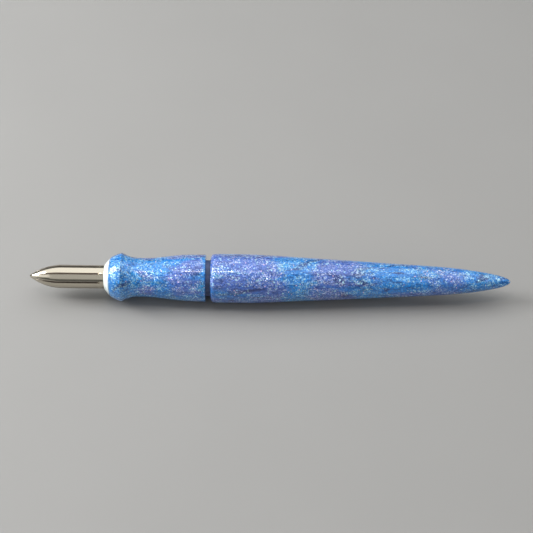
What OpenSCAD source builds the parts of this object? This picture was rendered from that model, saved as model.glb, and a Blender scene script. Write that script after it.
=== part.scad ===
// Dip pen with a grooved metal nib in a turned resin holder.
// The nib's shank plugs into a white sleeve in the grip section, and the section
// unscrews from the tapered handle at the groove between them.
// The pen lies along X with the nib towards -X and rests on Z = 0. Outlines are
// lists of [radius, station], and stations run back from the nib's tip.

/* [Nib] */
// Diameter of the nib's grooved head
nib_d = 6.5; // [6:0.1:6.8]
// Length of the nib's head, from its tip to its shoulder
nib_head_len = 20.75; // [18:0.05:24]
// Length of the curved point at the front of the head
nib_point_len = 8.2; // [7:0.1:10]
// Bulge of the point's side beyond a straight cone
nib_point_crown = 0.6; // [0.4:0.05:0.8]
// Number of ink grooves around the head
groove_count = 8; // [6:1:10]
// Width of an ink groove
groove_w = 0.5; // [0.3:0.01:0.6]
// Depth of an ink groove
groove_depth = 0.45; // [0.2:0.05:0.5]
// Plain collar between the ends of the grooves and the shoulder
nib_collar_len = 1; // [0.6:0.1:2]
// How far round the nib is turned in its sleeve
nib_turn = 6; // [0:0.5:45]
// Diameter of the nib's shank
shank_d = 4; // [3.6:0.1:4.2]
// Length of the nib's shank
shank_len = 16.5; // [14:0.5:17.5]

/* [Nib sleeve] */
// Length of the white ring that shows in front of the grip
ring_len = 1.5; // [1:0.1:2]
// Diameter of the white ring where it meets the grip
ring_d = 10.2; // [9:0.1:10.2]
// Length of the sleeve behind the ring
sleeve_len = 18.45; // [18:0.05:19]
// Outer diameter of the sleeve inside the grip
sleeve_d = 7.1; // [7:0.1:7.2]
// Thickness of the rubber rings that grip the shank
grip_ring_t = 1; // [0.8:0.05:1.05]

/* [Grip section] */
// Length of the grip section without its neck
section_len = 26.65; // [26:0.05:30]
// Diameter of the flare behind the nose
flare_d = 13.5; // [13:0.1:13.6]
// Distance of the flare's crest from the front of the section
flare_at = 3.3; // [3.1:0.05:4]
// Diameter of the waist where the fingers hold
waist_d = 10.8; // [10.4:0.1:11.4]
// Distance of the waist from the front of the section
waist_at = 8.55; // [8:0.05:10]
// Diameter of the section's rear rim
section_rear_d = 13.1; // [12.6:0.1:13.4]
// Diameter of the neck at the bottom of the groove
neck_d = 10; // [9.8:0.1:10.6]
// Length of the neck, which is the width of the groove
neck_len = 1.25; // [1.1:0.05:2]

/* [Screw joint] */
// Outer diameter of the stud's thread
thread_d = 6; // [5.8:0.1:6.2]
// Advance of the thread in one turn
thread_pitch = 1; // [0.8:0.1:1.1]
// Number of turns of thread on the stud
thread_turns = 7; // [4:1:7]
// Outer diameter of the threaded bush in the handle
bush_d = 8.8; // [8.6:0.1:9]
// Length of the threaded bush
bush_len = 9.8; // [9.6:0.1:11]
// Thickness of the rubber ring in the joint
joint_ring_t = 0.86; // [0.7:0.02:0.88]

/* [Handle] */
// Largest diameter of the handle, over the plain band behind the groove
handle_d = 13.6; // [13.4:0.1:14.4]
// Length of the handle
handle_len = 83.3; // [70:0.1:110]
// Length of the plain band, with its rounded front edge
band_len = 8.3; // [7:0.1:10]
// Loss of radius per millimetre along the taper
taper_rate = 0.054; // [0.04:0.001:0.06]
// Length of the rounded tail at the end of the taper
tail_len = 27.5; // [20:0.5:35]

/* [Hidden] */
$fn = 72;

slip = 0.05;          // radial clearance of a sliding or glued fit
face_gap = 0.02;      // gap between two faces that meet when the pen is assembled
ring_gap = 0.03;      // clearance of a rubber ring in its groove

// Stations, back from the nib's tip
sleeve_front = nib_head_len + face_gap;
section_front = sleeve_front + ring_len + face_gap;
section_rear = section_front + section_len;
neck_end = section_rear + neck_len;
handle_front = neck_end + face_gap;
bush_front = handle_front + 0.9;
pen_len = handle_front + handle_len;
sleeve_rear = section_front + sleeve_len;
stud_tail = sleeve_rear + 1.6;
collar_end = neck_end + 0.8;
thread_start = collar_end + 0.5;
thread_end = thread_start + (thread_turns + 0.5) * thread_pitch;
groove_end = nib_head_len - nib_collar_len;
run_out_len = 1.2;    // length over which a groove rises to its end
front_ring_at = section_front + 4;
rear_ring_at = section_front + 13;

// Radii
nib_r = nib_d / 2;
tip_core_r = groove_w / 2 / sin(180 / groove_count) + 0.05; // grooves stay clear of this core
shank_r = shank_d / 2;
sleeve_r = sleeve_d / 2;
sleeve_bore_r = shank_r + slip;
grip_ring_r = shank_r + ring_gap + grip_ring_t / 2;
ring_seat_r = grip_ring_r + grip_ring_t / 2 + ring_gap;
stud_tail_r = 2.6;
stud_collar_r = 3.7;
recess_r = 4.75;
handle_r = handle_d / 2;
axis_h = handle_r;

// Thread form: the stud's ridge and the bush's ridge fill alternate halves of each turn
thread_r = thread_d / 2;
thread_h = 0.5;
flank_gap = 0.06;
flank_slope = 0.46;   // half width gained per millimetre towards the root
crest_half = 0.1;     // half width of the stud's crest
root_bury = 0.15;     // how far a ridge's root is sunk into its wall
core_r = thread_r - thread_h;
thread_bore_r = thread_r + 0.1;
inner_crest_r = core_r + 0.1;
thread_steps = 24;    // facets in one turn

// Half width of the bush's ridge at a radius, which clears the stud's ridge on both sides
function inner_half(r) =
    thread_pitch / 2 - flank_gap - crest_half - flank_slope * (thread_r - r);

// Points from p to just before q on an arc that bulges outwards by crown
function arc(p, q, crown, n = 8) =
    let (chord = norm(q - p),
         along = (q - p) / chord,
         out = [along[1], -along[0]] * sign(crown),
         r = (chord * chord / 4 + crown * crown) / (2 * abs(crown)),
         half = asin(chord / 2 / r),
         centre = (p + q) / 2 - out * (r - abs(crown)))
    [for (i = [0 : n - 1])
        let (a = half * (2 * i / n - 1))
        centre + along * r * sin(a) + out * r * cos(a)];

// Points from p to just before q on a curve that leaves and arrives along the axis
function ease(p, q, n = 16) =
    [for (i = [0 : n - 1])
        [p[0] + (q[0] - p[0]) * (1 - cos(180 * i / n)) / 2, p[1] + (q[1] - p[1]) * i / n]];

// Places a shape made around Z, base at station 0, along the pen
module placed() {
    translate([-pen_len / 2, 0, axis_h]) rotate([0, 90, 0]) children();
}

module turned(outline) {
    placed() rotate_extrude() polygon(outline);
}

// Rubber ring of round section: mid radius r, thickness t, centred on a station
module rubber_ring(r, t, station) {
    placed() translate([0, 0, station]) rotate_extrude() translate([r, 0]) circle(t / 2);
}

// Right-handed helical ridge between two radii, with its half width at each, faded at both ends
module thread_ridge(root_r, crest_r, root_half, crest_half, start, turns) {
    steps = thread_steps * turns;
    function height(i) = min(1, max(0.15, min(i, steps - i) / (thread_steps / 2)));
    function rise(i) = start + thread_pitch * i / thread_steps;
    function at(i, r, z) = [r * cos(360 * i / thread_steps), r * sin(360 * i / thread_steps), z];
    points = [for (i = [0 : steps])
        let (r = root_r + (crest_r - root_r) * height(i),
             w = root_half + (crest_half - root_half) * height(i))
        each [at(i, root_r, rise(i) - root_half), at(i, r, rise(i) - w),
              at(i, r, rise(i) + w), at(i, root_r, rise(i) + root_half)]];
    sides = [for (i = [0 : steps - 1], j = [0 : 3])
        let (a = 4 * i + j, b = 4 * i + (j + 1) % 4)
        each [[a, a + 4, b + 4], [a, b + 4, b]]];
    last = 4 * steps;
    faces = concat(sides, [[0, 1, 2], [0, 2, 3]],
                   [[last, last + 2, last + 1], [last, last + 3, last + 2]]);
    inward = crest_r < root_r;
    polyhedron(points, inward ? faces : [for (f = faces) [f[2], f[1], f[0]]]);
}

// Side of the nib's point
function nib_side() = arc([0.3, 0.12], [nib_r, nib_point_len], nib_point_crown, 14);

// Outline of one ink groove, from where it starts near the tip to its rounded run-out
module ink_groove() {
    floor_line = [for (p = nib_side())
        if (p[0] > tip_core_r) [max(p[0] - groove_depth, tip_core_r), p[1]]];
    floor_r = nib_r - groove_depth;
    rotate([90, 0, 0]) linear_extrude(groove_w, center = true)
        polygon(concat([[nib_r + 1, floor_line[0][1] - 1]],
                       floor_line,
                       [[floor_r, nib_point_len]],
                       arc([floor_r, groove_end - run_out_len], [nib_r, groove_end], -0.25, 5),
                       [[nib_r, groove_end], [nib_r + 1, groove_end]]));
}

module nib() {
    shank_end = nib_head_len + shank_len;
    color([0.78, 0.76, 0.72]) placed() rotate([0, 0, nib_turn]) difference() {
        rotate_extrude() polygon(concat(
            [[0, 0], [0.18, 0.03]],
            nib_side(),
            [[nib_r, nib_point_len], [nib_r, nib_head_len - 0.1], [nib_r - 0.1, nib_head_len],
             [shank_r - 0.15, nib_head_len], [shank_r - 0.15, nib_head_len + 0.5],
             [shank_r, nib_head_len + 0.65], [shank_r, shank_end - 0.4],
             [shank_r - 0.4, shank_end], [0, shank_end]]));
        for (i = [0 : groove_count - 1])
            rotate([0, 0, 360 * (i + 0.5) / groove_count]) ink_groove();
    }
}

// Seat for a rubber ring inside the sleeve's bore, from the rear to the front
function ring_seat(station) =
    let (half = grip_ring_t / 2 + ring_gap)
    [[sleeve_bore_r, station + half], [ring_seat_r, station + half],
     [ring_seat_r, station - half], [sleeve_bore_r, station - half]];

module nib_sleeve() {
    ring_rear = sleeve_front + ring_len;
    ring_r = ring_d / 2;
    color([0.93, 0.98, 0.97]) turned(concat(
        [[sleeve_bore_r + 0.3, sleeve_front], [nib_r + 0.05, sleeve_front]],
        arc([nib_r + 0.15, sleeve_front + 0.03], [ring_r - 0.02, ring_rear - 0.1], 0.04, 4),
        [[ring_r - 0.02, ring_rear - 0.1], [ring_r - 0.1, ring_rear], [sleeve_r, ring_rear],
         [sleeve_r, sleeve_rear - 0.4], [sleeve_r - 0.4, sleeve_rear],
         [sleeve_bore_r, sleeve_rear]],
        ring_seat(rear_ring_at),
        ring_seat(front_ring_at),
        [[sleeve_bore_r, sleeve_front + 0.3]]));
}

module front_grip_ring() {
    color([0.08, 0.08, 0.09]) rubber_ring(grip_ring_r, grip_ring_t, front_ring_at);
}

module rear_grip_ring() {
    color([0.08, 0.08, 0.09]) rubber_ring(grip_ring_r, grip_ring_t, rear_ring_at);
}

module section() {
    front_r = ring_d / 2;
    nose = [front_r + 0.4, section_front + 0.3];
    crest = [flare_d / 2, section_front + flare_at];
    waist = [waist_d / 2, section_front + waist_at];
    rear_r = section_rear_d / 2;
    edge = 0.3;
    color([0.27, 0.5, 0.82]) turned(concat(
        [[sleeve_r + slip, section_front], [front_r, section_front],
         [front_r + 0.1, section_front + 0.06]],
        arc(nose, crest - [0.04, 0.2], 0.14),
        arc(crest - [0.04, 0.2], crest + [-0.08, 0.22], 0.06, 4),
        arc(crest + [-0.08, 0.22], waist, -0.33, 12),
        ease(waist, [rear_r, section_rear - 3]),
        [[rear_r, section_rear - 3]],
        arc([rear_r, section_rear - edge], [rear_r - edge, section_rear], edge * 0.3, 4),
        [[rear_r - edge, section_rear], [neck_d / 2 + 0.15, section_rear]],
        arc([neck_d / 2 + 0.15, section_rear], [neck_d / 2, section_rear + 0.15], -0.04, 3),
        [[neck_d / 2, section_rear + 0.15], [neck_d / 2, neck_end], [stud_tail_r + slip, neck_end],
         [stud_tail_r + slip, stud_tail - 0.4], [0, stud_tail - 0.4],
         [0, sleeve_rear + 0.2], [sleeve_r + slip, sleeve_rear + 0.2]]));
}

module joint_stud() {
    glue_grooves = [for (i = [4 : -1 : 0])
        let (z = stud_tail + 1 + i * 1.4)
        each [[stud_tail_r, z + 0.5], [stud_tail_r - 0.25, z + 0.35],
              [stud_tail_r - 0.25, z + 0.15], [stud_tail_r, z]]];
    color([0.8, 0.62, 0.3]) {
        turned(concat(
            [[0, stud_tail], [stud_tail_r - 0.3, stud_tail]],
            [for (i = [len(glue_grooves) - 1 : -1 : 0]) glue_grooves[i]],
            [[stud_tail_r, neck_end], [stud_collar_r, neck_end], [stud_collar_r, collar_end],
             [core_r, collar_end], [core_r, thread_end],
             [core_r - 0.5, thread_end + 0.5], [0, thread_end + 0.5]]));
        placed() thread_ridge(core_r - root_bury, thread_r,
                              crest_half + flank_slope * (thread_h + root_bury), crest_half,
                              thread_start, thread_turns);
    }
}

module joint_ring() {
    color([0.08, 0.08, 0.09])
        rubber_ring((stud_collar_r + recess_r) / 2, joint_ring_t, (neck_end + bush_front) / 2);
}

module threaded_bush() {
    bush_rear = bush_front + bush_len;
    bush_r = bush_d / 2;
    glue_grooves = [for (i = [0 : 3])
        let (z = bush_front + 1.4 + i * 2)
        each [[bush_r, z], [bush_r - 0.3, z + 0.2], [bush_r - 0.3, z + 0.6], [bush_r, z + 0.8]]];
    color([0.8, 0.62, 0.3]) {
        turned(concat(
            [[thread_bore_r + 0.3, bush_front], [bush_r - 0.2, bush_front],
             [bush_r, bush_front + 0.2]],
            glue_grooves,
            [[bush_r, bush_rear - 0.2], [bush_r - 0.2, bush_rear], [thread_bore_r, bush_rear],
             [thread_bore_r, bush_front + 0.3]]));
        placed() thread_ridge(thread_bore_r + root_bury, inner_crest_r,
                              inner_half(thread_bore_r + root_bury), inner_half(inner_crest_r),
                              thread_start + 0.5 * thread_pitch, thread_turns);
    }
}

// Radius lost to the taper at a distance behind the band, eased in over its start
function taper_drop(d) =
    let (ease_len = 8)
    taper_rate * (d < ease_len ? d * d / (2 * ease_len) : d - ease_len / 2);

// Side of the handle from the band to the tip
function handle_side(n = 44) =
    let (band_end = handle_front + band_len,
         tail_start = pen_len - tail_len)
    [for (i = [0 : n - 1])
        let (station = pen_len - (pen_len - band_end) * pow(1 - i / n, 1.35),
             u = max(0, (station - tail_start) / tail_len))
        [(handle_r - taper_drop(station - band_end)) * sqrt(1 - pow(u, 2.8)), station]];

module handle() {
    bush_r = bush_d / 2 + slip;
    bore_end = bush_front + bush_len + 0.2;
    color([0.36, 0.45, 0.8]) turned(concat(
        [[recess_r, handle_front], [5.5, handle_front]],
        arc([5.62, handle_front + 0.04], [handle_r, handle_front + 1.15], 0.3, 7),
        [[handle_r, handle_front + 1.15]],
        handle_side(),
        [[0, pen_len], [0, bore_end + 1.2], [bush_r, bore_end],
         [bush_r, bush_front], [recess_r, bush_front]]));
}

nib();
nib_sleeve();
front_grip_ring();
rear_grip_ring();
section();
joint_stud();
joint_ring();
threaded_bush();
handle();
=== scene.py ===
import math

import bpy
from mathutils import Matrix, Vector


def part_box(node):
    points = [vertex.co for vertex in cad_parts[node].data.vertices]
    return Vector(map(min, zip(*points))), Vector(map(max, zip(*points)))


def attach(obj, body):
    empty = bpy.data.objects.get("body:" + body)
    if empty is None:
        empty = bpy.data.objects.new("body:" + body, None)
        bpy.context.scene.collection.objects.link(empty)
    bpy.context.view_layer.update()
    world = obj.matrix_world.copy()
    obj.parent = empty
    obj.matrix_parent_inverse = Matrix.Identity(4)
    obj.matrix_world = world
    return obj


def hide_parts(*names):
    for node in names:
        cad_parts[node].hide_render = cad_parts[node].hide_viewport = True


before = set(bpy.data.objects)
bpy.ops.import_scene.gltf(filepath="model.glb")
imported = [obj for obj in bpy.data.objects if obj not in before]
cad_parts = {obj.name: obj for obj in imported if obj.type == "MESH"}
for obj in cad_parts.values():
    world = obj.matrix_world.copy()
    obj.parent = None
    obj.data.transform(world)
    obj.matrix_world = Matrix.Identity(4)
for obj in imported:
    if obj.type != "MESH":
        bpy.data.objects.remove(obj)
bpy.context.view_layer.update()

MM = 0.001

# ---------------------------------------------------------------- places, from the CAD frame
# A station is a distance in millimetres back from the nib's tip, as in the CAD source.

TIP_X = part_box("nib")[0][0]
AXIS_Z = (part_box("handle")[0][2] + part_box("handle")[1][2]) / 2


def stations(node):
    """Front and rear station of a CAD node."""
    low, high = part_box(node)
    return (low[0] - TIP_X) / MM, (high[0] - TIP_X) / MM


def radius(node):
    """Largest radius of a CAD node, in millimetres."""
    low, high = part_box(node)
    return (high[2] - low[2]) / 2 / MM


NIB_END = stations("nib")[1]
SLEEVE_FRONT, SLEEVE_REAR = stations("nib_sleeve")
SECTION_FRONT, NECK_END = stations("section")
STUD_TAIL = stations("joint_stud")[0]
HANDLE_FRONT, PEN_END = stations("handle")
BUSH_FRONT, BUSH_REAR = stations("threaded_bush")
NIB_R = radius("nib")
FLARE_R = radius("section")
HANDLE_R = radius("handle")
BUSH_R = radius("threaded_bush")

NECK_LEN = 1.25         # from the grip's rear rim to the end of its neck
BAND_LEN = 8.3          # from the handle's front to the start of its taper

# ---------------------------------------------------------------- outlines of turned pieces
# A point is a (radius, station) pair in millimetres.


def arc(p, q, crown, n=12):
    """Points from p to just before q on an arc that bulges outwards by crown."""
    p, q = Vector(p), Vector(q)
    chord = (q - p).length
    along = (q - p) / chord
    out = Vector((along.y, -along.x)) * math.copysign(1, crown)
    r = (chord ** 2 / 4 + crown ** 2) / (2 * abs(crown))
    half = math.asin(chord / 2 / r)
    centre = (p + q) / 2 - out * (r - abs(crown))
    turns = [half * (2 * i / n - 1) for i in range(n)]
    return [tuple(centre + along * r * math.sin(a) + out * r * math.cos(a)) for a in turns]


def line(p, q, n):
    """Points from p to just before q on a straight line."""
    return [(p[0] + (q[0] - p[0]) * i / n, p[1] + (q[1] - p[1]) * i / n) for i in range(n)]


def ease(p, q, n=32):
    """Points from p to just before q on a curve that leaves and arrives along the axis."""
    return [(p[0] + (q[0] - p[0]) * (1 - math.cos(math.pi * i / n)) / 2,
             p[1] + (q[1] - p[1]) * i / n) for i in range(n)]


def section_outline():
    """Grip section: nose, flare, waist, rear rim and neck, then its two bores."""
    front, rim = SECTION_FRONT, NECK_END - NECK_LEN
    sleeve_bore, sleeve_floor = 3.6, SLEEVE_REAR + 0.2
    stud_bore, stud_floor = 2.65, STUD_TAIL - 0.4
    rear_r, neck_r, edge, fillet, neck_edge = 6.55, 5.0, 0.3, 0.2, 0.06
    nose = (5.5, front + 0.3)
    flare_front, flare_rear = (FLARE_R - 0.04, front + 3.1), (FLARE_R - 0.08, front + 3.52)
    waist, rear_band = (5.4, front + 8.55), (rear_r, rim - 3)
    rim_side, rim_face = (rear_r, rim - edge), (rear_r - edge, rim)
    neck_start = (neck_r, rim + fillet)
    return [
        (sleeve_bore, front + 0.1), (sleeve_bore + 0.1, front), (5.03, front),
        (5.1, front + 0.015), (5.19, front + 0.07), (5.34, front + 0.18),
        *arc(nose, flare_front, 0.14, 16),
        *arc(flare_front, flare_rear, 0.06, 8),
        *arc(flare_rear, waist, -0.33, 28),
        *ease(waist, rear_band),
        *line(rear_band, rim_side, 4),
        *arc(rim_side, rim_face, edge * 0.3, 8),
        rim_face,
        *arc((neck_r + fillet, rim), neck_start, -0.05, 5),
        neck_start, (neck_r, NECK_END - neck_edge), (neck_r - neck_edge, NECK_END),
        (stud_bore, NECK_END), (stud_bore, stud_floor), (0, stud_floor),
        (0, sleeve_floor), (sleeve_bore, sleeve_floor),
    ]


def handle_side(n=120):
    """The handle's side behind its band: a straight taper with a rounded tail. The points
    crowd together towards the tip."""
    band_end = HANDLE_FRONT + BAND_LEN
    slope, ease_len = 0.054, 8
    tail_len, bluntness, crowding = 27.5, 2.8, 1.5
    points = []
    for i in range(n):
        station = PEN_END - (PEN_END - band_end) * (1 - i / n) ** crowding
        d = station - band_end
        lost = slope * (d * d / (2 * ease_len) if d < ease_len else d - ease_len / 2)
        u = max(0, (station - (PEN_END - tail_len)) / tail_len)
        points.append(((HANDLE_R - lost) * math.sqrt(1 - u ** bluntness), station))
    return points


def handle_outline():
    """Handle: front edge, band, taper and tail, then the bush's bore and the ring's recess."""
    front = HANDLE_FRONT
    recess, bore, bore_end = 4.75, BUSH_R + 0.05, BUSH_REAR + 0.2
    drill_point = 1.2
    band_front = (HANDLE_R, front + 1.15)
    return [
        (recess, front + 0.06), (recess + 0.06, front), (5.45, front), (5.54, front + 0.012),
        *arc((5.62, front + 0.04), band_front, 0.3, 18),
        *line(band_front, (HANDLE_R, front + BAND_LEN), 10),
        *handle_side(),
        (0, PEN_END), (0, bore_end + drill_point), (bore, bore_end), (bore, BUSH_FRONT),
        (recess, BUSH_FRONT),
    ]


def sleeve_outline():
    """White sleeve: conical ring in front of the grip, tube, and two ring seats in its bore."""
    bore, tube, tube_edge, bore_edge = 2.05, 3.55, 0.4, 0.3
    seat, seat_half = 3.06, 0.53
    ring_rear = SECTION_FRONT - 0.02
    ring_edge = (5.05, ring_rear - 0.13)
    seats = []
    for middle in (SECTION_FRONT + 13, SECTION_FRONT + 4):
        seats += [(bore, middle + seat_half), (seat, middle + seat_half),
                  (seat, middle - seat_half), (bore, middle - seat_half)]
    return [
        (bore + bore_edge, SLEEVE_FRONT), (NIB_R + 0.05, SLEEVE_FRONT),
        *arc((NIB_R + 0.15, SLEEVE_FRONT + 0.03), ring_edge, 0.04, 12),
        ring_edge, (5.06, ring_rear - 0.09), (5.03, ring_rear - 0.02),
        (4.97, ring_rear), (tube, ring_rear), (tube, SLEEVE_REAR - tube_edge),
        (tube - tube_edge, SLEEVE_REAR), (bore, SLEEVE_REAR), *seats,
        (bore, SLEEVE_FRONT + bore_edge),
    ]


# ---------------------------------------------------------------- meshes


def ring_of(columns, station):
    """Vertices round the axis at one station. columns holds (radius, angle) in mm and radians."""
    return [(TIP_X + station * MM, -r * MM * math.cos(a), AXIS_Z + r * MM * math.sin(a))
            for r, a in columns]


def off_axis(point):
    """Distance of a point from the pen's axis, in millimetres."""
    return math.hypot(point.y, point.z - AXIS_Z) / MM


def finish_mesh(name, verts, faces, sharp_angle):
    """A smooth object, apart from its edges that are sharper than sharp_angle degrees."""
    mesh = bpy.data.meshes.new(name)
    mesh.from_pydata(verts, [], faces)
    mesh.validate()
    mesh.shade_smooth()
    mesh.set_sharp_from_angle(angle=math.radians(sharp_angle))
    piece = bpy.data.objects.new(name, mesh)
    bpy.context.collection.objects.link(piece)
    return piece


def skin(rings, closed):
    """Faces between rings of equal length. A ring of one vertex is a pole."""
    faces = []
    following = rings[1:] + rings[:1] if closed else rings[1:]
    for a, b in zip(rings, following):
        if len(a) == 1 and len(b) == 1:
            continue
        n = max(len(a), len(b))
        for i in range(n):
            j = (i + 1) % n
            if len(a) == 1:
                faces.append((a[0], b[i], b[j]))
            elif len(b) == 1:
                faces.append((a[i], b[0], a[j]))
            else:
                faces.append((a[i], b[i], b[j], a[j]))
    return faces


def lathe(name, outline, segments=160, sharp_angle=32):
    """A closed outline turned round the pen's axis."""
    verts, rings = [], []
    for r, station in outline:
        count = segments if r > 1e-6 else 1
        start = len(verts)
        verts += ring_of([(r, math.tau * i / count) for i in range(count)], station)
        rings.append(list(range(start, start + count)))
    return finish_mesh(name, verts, skin(rings, closed=True), sharp_angle)


# ---------------------------------------------------------------- the nib

POINT_LEN = 8.2
SHOULDER = SLEEVE_FRONT - 0.02
SHANK_R = 2.0

GROOVES = 8
GROOVE_AT = math.radians(61.5)      # the groove nearest the top, up from the near side
GROOVE_W = 0.5
GROOVE_DEPTH = 0.45
GROOVE_START = 1.2                  # where it starts to grow towards its full size
GROOVE_GROWTH = 5                   # length over which it grows
GROOVE_END = SHOULDER - 1.0
RUN_OUT = 0.7                       # length over which its end rises to the surface
START_W = 0.4                       # share of its width that it starts with
END_W = 0.15                        # share of its width that it ends with
MOST_OF_SECTOR = 0.36               # most of its sector that half its width takes up
HOLLOW = 0.6                        # exponent of its section, where 0.5 is an ellipse
TIP_CORE = 0.7                      # radius that the grooves leave whole near the tip


def nib_side():
    return arc((0.3, 0.12), (NIB_R, POINT_LEN), 0.6, 40)


def head_radius(station):
    """Radius of the nib's head before its grooves are cut."""
    points = nib_side() + [(NIB_R, POINT_LEN), (NIB_R, SHOULDER)]
    for (r0, s0), (r1, s1) in zip(points, points[1:]):
        if station <= s1:
            return r0 + (r1 - r0) * (station - s0) / (s1 - s0)
    return NIB_R


def growth(station):
    """The grooves start shallow and narrow behind the tip and reach full size along the point."""
    t = min(1, max(0, (station - GROOVE_START) / GROOVE_GROWTH))
    return t * t * (3 - 2 * t)


def groove_depth(station, r):
    """Depth of an ink groove: shallow at the tip, full along the head, with a rounded run-out."""
    if station >= GROOVE_END:
        return 0
    left = (GROOVE_END - station) / RUN_OUT
    fade = math.sqrt(1 - (1 - left) ** 2) if left < 1 else 1
    return min(GROOVE_DEPTH * growth(station), max(0, r - TIP_CORE)) * fade


def groove_half_angle(station, r):
    """Half the angle that a groove takes up, rounded off at its end."""
    left = (GROOVE_END - station) / (GROOVE_W / 2)
    round_end = math.sqrt(max(0, 1 - (1 - left) ** 2)) if left < 1 else 1
    width = GROOVE_W * (START_W + (1 - START_W) * growth(station))
    return min(width / 2 / r, MOST_OF_SECTOR * math.tau / GROOVES) * max(END_W, round_end)


def nib_columns(station, r, across=10, land=10):
    """(radius, angle) round the head: for each groove, its hollow and then the land beside it."""
    sector = math.tau / GROOVES
    half = groove_half_angle(min(station, GROOVE_END), r)
    depth = groove_depth(station, r)
    columns = []
    for k in range(GROOVES):
        centre = GROOVE_AT + k * sector
        for i in range(across):
            t = 2 * i / across - 1
            columns.append((r - depth * (1 - t * t) ** HOLLOW, centre + half * t))
        for i in range(land):
            t = i / land
            columns.append((r, centre + half + (sector - 2 * half) * t))
    return columns


def make_nib():
    """The nib: tip, head, collar, shoulder and shank as one closed mesh."""
    tip = [(0.12, 0.015), (0.22, 0.05)]
    fine_from, fine_to = (NIB_R, GROOVE_END - 0.8), (NIB_R, GROOVE_END + 0.02)
    head = line((NIB_R, POINT_LEN), fine_from, 12) + line(fine_from, fine_to, 22)
    collar = [fine_to, (NIB_R, SHOULDER - 0.14), (NIB_R - 0.04, SHOULDER - 0.04),
              (NIB_R - 0.14, SHOULDER)]
    relief_r = SHANK_R - 0.15
    shank = [(SHANK_R - 0.1, SHOULDER), (relief_r, SHOULDER + 0.05), (relief_r, SHOULDER + 0.5),
             (SHANK_R, SHOULDER + 0.65), (SHANK_R, NIB_END - 0.4),
             (SHANK_R - 0.06, NIB_END - 0.3), (SHANK_R - 0.4, NIB_END)]
    verts, rings = [(TIP_X, 0, AXIS_Z)], [[0]]
    for r, station in tip + nib_side() + head + collar + shank:
        start = len(verts)
        verts += ring_of(nib_columns(station, r), station)
        rings.append(list(range(start, len(verts))))
    verts.append((TIP_X + NIB_END * MM, 0, AXIS_Z))
    rings.append([len(verts) - 1])
    return finish_mesh("grooved_nib", verts, skin(rings, closed=False), 40)


# ---------------------------------------------------------------- materials


class Graph:
    """Short calls for building a node material."""

    def __init__(self, name):
        self.material = bpy.data.materials.new(name)
        self.material.use_nodes = True
        self.nodes = self.material.node_tree.nodes
        self.links = self.material.node_tree.links
        self.place = self.add("ShaderNodeTexCoord").outputs["Object"]

    def add(self, kind, **settings):
        node = self.nodes.new(kind)
        for key, value in settings.items():
            setattr(node, key, value)
        return node

    def feed(self, socket, value):
        """Link a socket to another one, or set its value."""
        if isinstance(value, bpy.types.NodeSocket):
            self.links.new(value, socket)
        else:
            socket.default_value = value

    def fill(self, node, **values):
        """Feed a node's inputs by name, with _ for a space."""
        for key, value in values.items():
            self.feed(node.inputs[key.replace("_", " ")], value)

    def math(self, operation, a, b, c=0.0):
        node = self.add("ShaderNodeMath", operation=operation)
        for socket, value in zip(node.inputs, (a, b, c)):
            self.feed(socket, value)
        return node.outputs[0]

    def vector(self, operation, a, b=(0, 0, 0), scale=1.0):
        node = self.add("ShaderNodeVectorMath", operation=operation)
        for i, value in ((0, a), (1, b), (3, scale)):
            self.feed(node.inputs[i], value)
        return node.outputs[0]

    def noise(self, grain, shift=(0, 0, 0), detail=2.0, roughness=0.5, distortion=0.0,
              output="Fac"):
        """Noise in the piece's own coordinates. grain is its features per metre along the pen,
        across it and upwards, and shift picks another part of the pattern."""
        place = self.add("ShaderNodeMapping")
        self.fill(place, Vector=self.place, Scale=grain, Location=shift)
        texture = self.add("ShaderNodeTexNoise")
        self.fill(texture, Vector=place.outputs[0], Scale=1.0, Detail=detail,
                  Roughness=roughness, Distortion=distortion)
        return texture.outputs[output]

    def cells(self, grain):
        """A random colour for each small cell of space, with grain of them to a metre."""
        node = self.add("ShaderNodeTexVoronoi")
        self.fill(node, Vector=self.place, Scale=grain)
        return node.outputs["Color"]

    def split(self, kind, value):
        """The parts of a vector (kind XYZ) or of a colour (kind Color)."""
        node = self.add("ShaderNodeSeparate" + kind)
        self.feed(node.inputs[0], value)
        return node.outputs

    def profile(self, value, stops):
        """A number that eases from stop to stop, each of them a (position, number) pair."""
        node = self.add("ShaderNodeValToRGB")
        node.color_ramp.interpolation = "EASE"
        elements = node.color_ramp.elements
        while len(elements) < len(stops):
            elements.new(0.5)
        for element, (position, number) in zip(elements, stops):
            element.position = position
            element.color = (number, number, number, 1)
        self.fill(node, Fac=value)
        return node.outputs["Color"]

    def span(self, value, low, high, to_low=0.0, to_high=1.0):
        """A smooth step from to_low to to_high as the value goes from low to high."""
        node = self.add("ShaderNodeMapRange", interpolation_type="SMOOTHSTEP")
        self.fill(node, Value=value, From_Min=low, From_Max=high, To_Min=to_low, To_Max=to_high)
        return node.outputs["Result"]

    def blend(self, factor, *colours):
        """From the first colour to the second one as the factor goes from 0 to 1."""
        node = self.add("ShaderNodeMix", data_type="RGBA")
        a, b = (c if isinstance(c, bpy.types.NodeSocket) else (*c, 1) for c in colours)
        self.fill(node, Factor=factor, A=a, B=b)
        return node.outputs["Result"]

    def normal(self):
        return self.add("ShaderNodeNewGeometry").outputs["Normal"]

    def bump(self, height, strength, depth):
        """The normal over bumps of the given depth in millimetres."""
        node = self.add("ShaderNodeBump")
        self.fill(node, Height=height, Strength=strength, Distance=depth * MM)
        return node.outputs["Normal"]

    def finish(self, **values):
        """Feed the shader's inputs and return the material."""
        self.fill(self.nodes["Principled BSDF"], **values)
        return self.material


# The pearl resin's base colours: azure, its paler clouds, violet, and the dark of its veins.
AZURE = (0.001, 0.235, 0.74)
SKY = (0.06, 0.47, 0.78)
VIOLET = (0.06, 0.155, 0.57)
ROYAL = (0.003, 0.02, 0.15)

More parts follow.
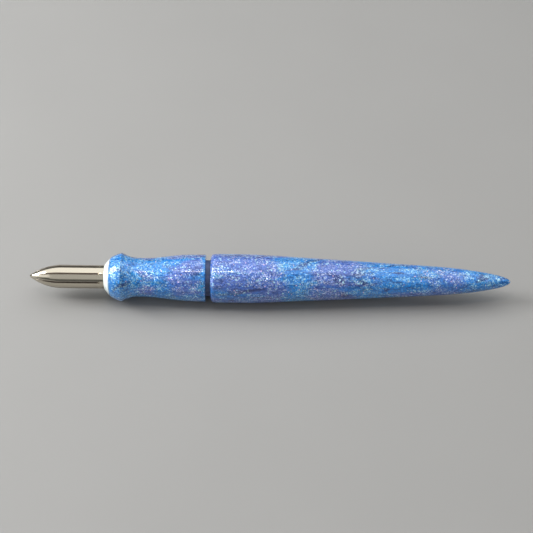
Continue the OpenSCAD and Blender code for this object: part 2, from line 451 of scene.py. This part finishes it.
# Its flakes, pale pigment made brighter with painted glint: in the azure, in the violet; and the
# rare warm ones, painted rose glints.
ICE_FLAKE_GLINT = (0.48, 0.83, 1.0)
LILAC_FLAKE_GLINT = (0.58, 0.66, 1.0)
ROSE_PAINTED_GLINT = (0.95, 0.62, 0.82)

# Its patterns, in features per metre: along the pen, across it and upwards.
SWIRLS = (55, 150, 150)
CLOUDS = (130, 330, 330)
STREAKS = (400, 1300, 1300)
VEINS = (45, 170, 170)
SWAY = (130, 420, 420)

# Its flakes, in cells to a metre: fine ones, larger ones for painted glints, and those that only
# tip the normal.
FINE = 3800
LARGE = 2500
TIPPED = (3000, 6000)

LEAN = 0.5              # how far the mica leans from the surface
VEIN_SHIFT = 7          # keeps the veins from following the swirls


def mica_normal(g, shift):
    """The surface normal as the mica lies: swaying slowly with the swirls, and tipped at
    random for each flake."""
    normal = g.normal()
    for tilt in (g.noise(SWAY, shift, output="Color"), *(g.cells(grain) for grain in TIPPED)):
        lean = g.vector("SUBTRACT", tilt, (0.5, 0.5, 0.5))
        normal = g.vector("ADD", normal, g.vector("SCALE", lean, scale=LEAN))
    return g.vector("NORMALIZE", normal)


def pearl_resin(name, zones, shift):
    """Glossy resin with pearl pigment: azure and violet swirls, dark veins, fine pale flakes and
    painted glints.
    zones gives the violet share along the pen, from the nib's tip to the handle's end."""
    g = Graph(name)
    along = g.math("MULTIPLY_ADD", g.split("XYZ", g.place)["X"], 1 / (PEN_END * MM), 0.5)
    swirl = g.noise(SWIRLS, shift, distortion=1.2)
    cloud = g.noise(CLOUDS, shift, detail=3, roughness=0.65, distortion=1.0)
    streak = g.noise(STREAKS, shift, detail=3, roughness=0.65, distortion=0.6)
    vein = g.noise(VEINS, (shift[0] + VEIN_SHIFT, shift[1], shift[2]), detail=3, roughness=0.55,
                   distortion=2.0)
    fine = g.split("Color", g.cells(FINE))
    large = g.split("Color", g.cells(LARGE))

    # The base: azure to violet, with paler clouds, dark streaks and darker veins.
    violet = g.span(g.math("ADD", swirl, g.profile(along, zones)), 0.86, 1.1)
    colour = g.blend(violet, AZURE, VIOLET)
    colour = g.blend(g.span(cloud, 0.5, 0.72, 0, 0.4), colour, SKY)
    colour = g.blend(g.span(streak, 0.48, 0.34, 0, 0.5), colour, ROYAL)
    colour = g.blend(g.span(vein, 0.43, 0.34, 0, 0.75), colour, ROYAL)

    # The flakes: crowded in the clouds and between the streaks, and denser in the violet. Their
    # pale colour is partly painted glint.
    crowd = g.span(g.math("ADD", cloud, g.math("MULTIPLY", streak, 0.6)), 0.64, 0.88)
    pearly_glint = g.math("MULTIPLY", g.span(fine["Red"], 0.56, 0.86), crowd)
    pearly_glint = g.math("MULTIPLY", pearly_glint, g.span(violet, 0, 0.8, 0.7, 1))
    # Partly painted glint: pale flake pigment, brightened to stand for the flakes' glints.
    colour = g.blend(g.math("MULTIPLY", pearly_glint, 0.95), colour, g.blend(violet, ICE_FLAKE_GLINT, LILAC_FLAKE_GLINT))
    colour = g.blend(g.span(fine["Green"], 0.6, 1.0, 0, 0.45), colour, ROYAL)
    # Painted glints: bright ice dots on some larger flakes among the streaks.
    painted_glint = g.math("MULTIPLY", g.span(large["Red"], 0.88, 0.93), g.span(streak, 0.45, 0.58))
    colour = g.blend(g.math("MULTIPLY", painted_glint, 0.85), colour, ICE_FLAKE_GLINT)
    # Painted glints: rare rose dots in the resin's colour.
    colour = g.blend(g.span(fine["Blue"], 0.995, 0.997, 0, 0.8), colour, ROSE_PAINTED_GLINT)
    return g.finish(Base_Color=colour, Metallic=g.span(pearly_glint, 0.1, 0.8, 0.05, 0.45),
                    Roughness=0.36, Normal=mica_normal(g, shift), Coat_Normal=g.normal(),
                    Coat_Weight=1.0, Coat_Roughness=0.03, Coat_IOR=1.5)


def dull_resin_painted_shade():
    """The grip's neck and bores: its resin as turned and without its polish, made dark with
    painted shade.
    """
    g = Graph("dull_resin_painted_shade")
    rings = g.noise((6000, 90, 90))
    cloud = g.noise((200, 500, 500), detail=3)
    # Painted shade: the dark navy colours stand for the shade in the joint's groove and in the
    # bores.
    colour = g.blend(g.span(cloud, 0.35, 0.65), (0.06, 0.09, 0.18), (0.12, 0.15, 0.27))
    return g.finish(Base_Color=colour, Roughness=g.span(cloud, 0.3, 0.7, 0.5, 0.62),
                    Normal=g.bump(rings, 0.25, 0.04))


def polished_steel():
    """The nib's turned surfaces: warm steel with faint rings, and smears from polishing."""
    g = Graph("polished_steel")
    rings = g.noise((9000, 120, 120))
    smear = g.noise((140, 900, 900), detail=3)
    colour = g.blend(smear, (0.56, 0.515, 0.42), (0.63, 0.58, 0.48))
    return g.finish(Base_Color=colour, Metallic=1.0,
                    Roughness=g.span(smear, 0.3, 0.7, 0.09, 0.17),
                    Normal=g.bump(rings, 0.06, 0.02))


def milled_steel_painted_shade():
    """The floor and sides of the nib's grooves: rough as the cutter leaves them, and darkened
    with painted shade.
    """
    g = Graph("milled_steel_painted_shade")
    passes = g.noise((4000, 500, 500), detail=3)
    # Painted shade: these dark colours stand for the shade that falls inside the grooves.
    colour = g.blend(passes, (0.2, 0.17, 0.145), (0.33, 0.285, 0.245))
    return g.finish(Base_Color=colour, Metallic=1.0,
                    Roughness=g.span(passes, 0.3, 0.7, 0.3, 0.45),
                    Normal=g.bump(passes, 0.3, 0.03))


def white_resin():
    """The sleeve: polished white resin with a faint mint tint."""
    g = Graph("white_resin")
    cloud = g.noise((400, 700, 700), detail=3)
    colour = g.blend(g.span(cloud, 0.35, 0.65), (0.86, 0.97, 0.95), (0.93, 0.99, 0.98))
    return g.finish(Base_Color=colour, Roughness=g.span(cloud, 0.3, 0.7, 0.16, 0.24),
                    Coat_Weight=0.6, Coat_Roughness=0.06, Normal=g.bump(cloud, 0.03, 0.05))


def black_rubber():
    g = Graph("black_rubber")
    grain = g.noise((3000, 3000, 3000), detail=4)
    colour = g.blend(grain, (0.012, 0.012, 0.013), (0.03, 0.03, 0.032))
    return g.finish(Base_Color=colour, Roughness=g.span(grain, 0.3, 0.7, 0.5, 0.68),
                    Normal=g.bump(grain, 0.2, 0.03))


def turned_brass():
    """The stud and the bush: brass with turning marks and patches of tarnish."""
    g = Graph("turned_brass")
    rings = g.noise((7000, 60, 60), detail=3)
    tarnish = g.noise((500, 500, 500), detail=4)
    colour = g.blend(g.span(tarnish, 0.4, 0.7), (0.74, 0.53, 0.23), (0.6, 0.4, 0.16))
    return g.finish(Base_Color=colour, Metallic=1.0,
                    Roughness=g.span(tarnish, 0.3, 0.7, 0.2, 0.34),
                    Normal=g.bump(rings, 0.15, 0.03))


def pale_floor():
    """A matt floor, so that it doesn't mirror the lights in views from low down."""
    g = Graph("pale_floor")
    mottle = g.noise((25, 25, 25), detail=5)
    colour = g.blend(mottle, (0.31, 0.308, 0.3), (0.33, 0.328, 0.32))
    return g.finish(Base_Color=colour, Roughness=g.span(mottle, 0.3, 0.7, 0.6, 0.7),
                    Specular_IOR_Level=0.12)


# ---------------------------------------------------------------- the pieces

# Violet share by place along the pen, where 0 is the nib's tip and 1 the handle's end.
SECTION_ZONES = [(0.15, 0.2), (0.21, 0.24), (0.245, 0.46), (0.275, 0.3), (0.32, 0.55),
                 (0.352, 0.58), (0.37, 0.28)]
HANDLE_ZONES = [(0.37, 0.6), (0.5, 0.62), (0.555, 0.26), (0.61, 0.6), (0.72, 0.36), (0.8, 0.42),
                (0.88, 0.55), (0.97, 0.22)]

steel = polished_steel()
white = white_resin()
brass = turned_brass()
rubber = black_rubber()
grip_resin = pearl_resin("grip_resin", SECTION_ZONES, (6.4, 31.9, 5.6))
handle_resin = pearl_resin("handle_resin", HANDLE_ZONES, (24.9, 29.7, 31.8))


def place(piece, material, body, node, slot):
    """A detailed piece that stands for a CAD node and rides on its body."""
    piece.data.materials.append(material)
    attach(piece, body)
    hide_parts(node)


def mark_grooves(mesh):
    """Give the second material, cut steel darkened with painted shade, to the grooves' faces,
    apart from those at the tip and in the run-outs, which are polished with the head."""
    milled_shade_from, milled_shade_to, sunk = 1, GROOVE_END - 0.6, 0.08
    for face in mesh.polygons:
        lowest = min(off_axis(mesh.vertices[i].co) for i in face.vertices)
        station = (face.center.x - TIP_X) / MM
        milled_shade = milled_shade_from < station < milled_shade_to and lowest < head_radius(station) - sunk
        face.material_index = int(milled_shade)


def mark_dull_painted_shade(mesh):
    """Give the second material, dull and darkened with painted shade, to the faces of the grip's
    neck and bores.
    """
    neck_front = TIP_X + (NECK_END - NECK_LEN + 0.05) * MM
    largest_bore = 3.7
    for face in mesh.polygons:
        dull_painted_shade = face.center.x > neck_front or off_axis(face.center) < largest_bore
        face.material_index = int(dull_painted_shade)


nib = make_nib()
place(nib, steel, "nib", "nib", "nib_steel")
nib.data.materials.append(milled_steel_painted_shade())
mark_grooves(nib.data)

place(lathe("white_sleeve", sleeve_outline()), white, "section", "nib_sleeve", "sleeve_resin")

grip = lathe("grip_section", section_outline())
place(grip, grip_resin, "section", "section", "section_resin")
grip.data.materials.append(dull_resin_painted_shade())
mark_dull_painted_shade(grip.data)

place(lathe("tapered_handle", handle_outline()), handle_resin, "handle", "handle", "handle_resin")

for node, material in (("front_grip_ring", rubber), ("rear_grip_ring", rubber),
                       ("joint_ring", rubber), ("joint_stud", brass), ("threaded_bush", brass)):
    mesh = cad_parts[node].data
    mesh.materials.clear()
    mesh.materials.append(material)

# ---------------------------------------------------------------- floor, light and camera

scene = bpy.context.scene
scene.view_settings.view_transform = "Standard"


def add_floor():
    half, gap = 3.0, 0.05 * MM
    mesh = bpy.data.meshes.new("floor")
    mesh.from_pydata([(-half, -half, 0), (half, -half, 0), (half, half, 0), (-half, half, 0)],
                     [], [(0, 1, 2, 3)])
    floor = bpy.data.objects.new("floor", mesh)
    floor.location.z = -gap
    bpy.context.collection.objects.link(floor)
    mesh.materials.append(pale_floor())


def softbox(name, way, distance, size, radiance, colour=(1, 1, 1)):
    """A rectangular soft light in the direction way from the pen, facing it."""
    way = Vector(way).normalized()
    light = bpy.data.lights.new(name, "AREA")
    light.shape = "RECTANGLE"
    light.size, light.size_y = size
    light.energy = radiance * math.pi * size[0] * size[1]
    light.color = colour
    lamp = bpy.data.objects.new(name, light)
    lamp.location = way * distance
    across = (Vector((1, 0, 0)) - way * way.x).normalized()
    lamp.rotation_euler = Matrix((across, way.cross(across), way)).transposed().to_euler()
    bpy.context.collection.objects.link(lamp)


def overhead(elevation, sideways=0.0):
    """Direction to a light above the pen, in degrees: up from the camera's side, where more
    than 90 is behind the pen, and then sideways."""
    e, s = math.radians(elevation), math.radians(sideways)
    return (math.sin(s), -math.cos(e) * math.cos(s), math.sin(e) * math.cos(s))


def add_world():
    world = bpy.data.worlds.new("studio")
    world.use_nodes = True
    background = world.node_tree.nodes["Background"]
    background.inputs["Color"].default_value = (0.97, 1.0, 1.0, 1)
    background.inputs["Strength"].default_value = 0.14
    scene.world = world


def add_camera():
    """The photograph's view: square across the pen, from 46.5 degrees above the floor."""
    elevation, roll = math.radians(46.5), math.radians(0.72)
    frame_px, px_per_mm, focal_px, sensor = 533, 3.6, 1400, 36
    right_px, up_px = 3.8, -12.4        # from the frame's middle to the pen's middle
    distance = focal_px / px_per_mm * MM
    back = Vector((0, -math.cos(elevation), math.sin(elevation)))
    turn = (-back).to_track_quat("-Z", "Y")
    axes = turn.to_matrix()
    right, up = axes.col[0], axes.col[1]
    aim = Vector((0, 0, AXIS_Z)) - right * right_px / px_per_mm * MM - up * up_px / px_per_mm * MM
    camera_data = bpy.data.cameras.new("camera")
    camera_data.sensor_width = sensor
    camera_data.lens = sensor * focal_px / frame_px
    camera_data.clip_start, camera_data.clip_end = 0.01, 20
    camera = bpy.data.objects.new("camera", camera_data)
    camera.location = aim + back * distance
    camera.rotation_euler = turn.to_euler()
    camera.rotation_euler.rotate_axis("Z", roll)
    bpy.context.collection.objects.link(camera)
    scene.camera = camera


add_floor()
add_world()
softbox("overhead_panel", overhead(108), 1.0, (2.4, 1.4), 1.3)
softbox("front_panel", overhead(42), 1.2, (1.8, 1.0), 0.45)
softbox("strip", overhead(80.5, -8), 0.6, (0.12, 0.014), 42.0, (1.0, 0.86, 0.8))
softbox("left_panel", (-0.85, -0.35, 0.42), 1.1, (0.8, 0.6), 0.95)
softbox("left_window", (-0.84, 0.08, 0.54), 0.6, (0.27, 0.25), 15.0)
add_camera()
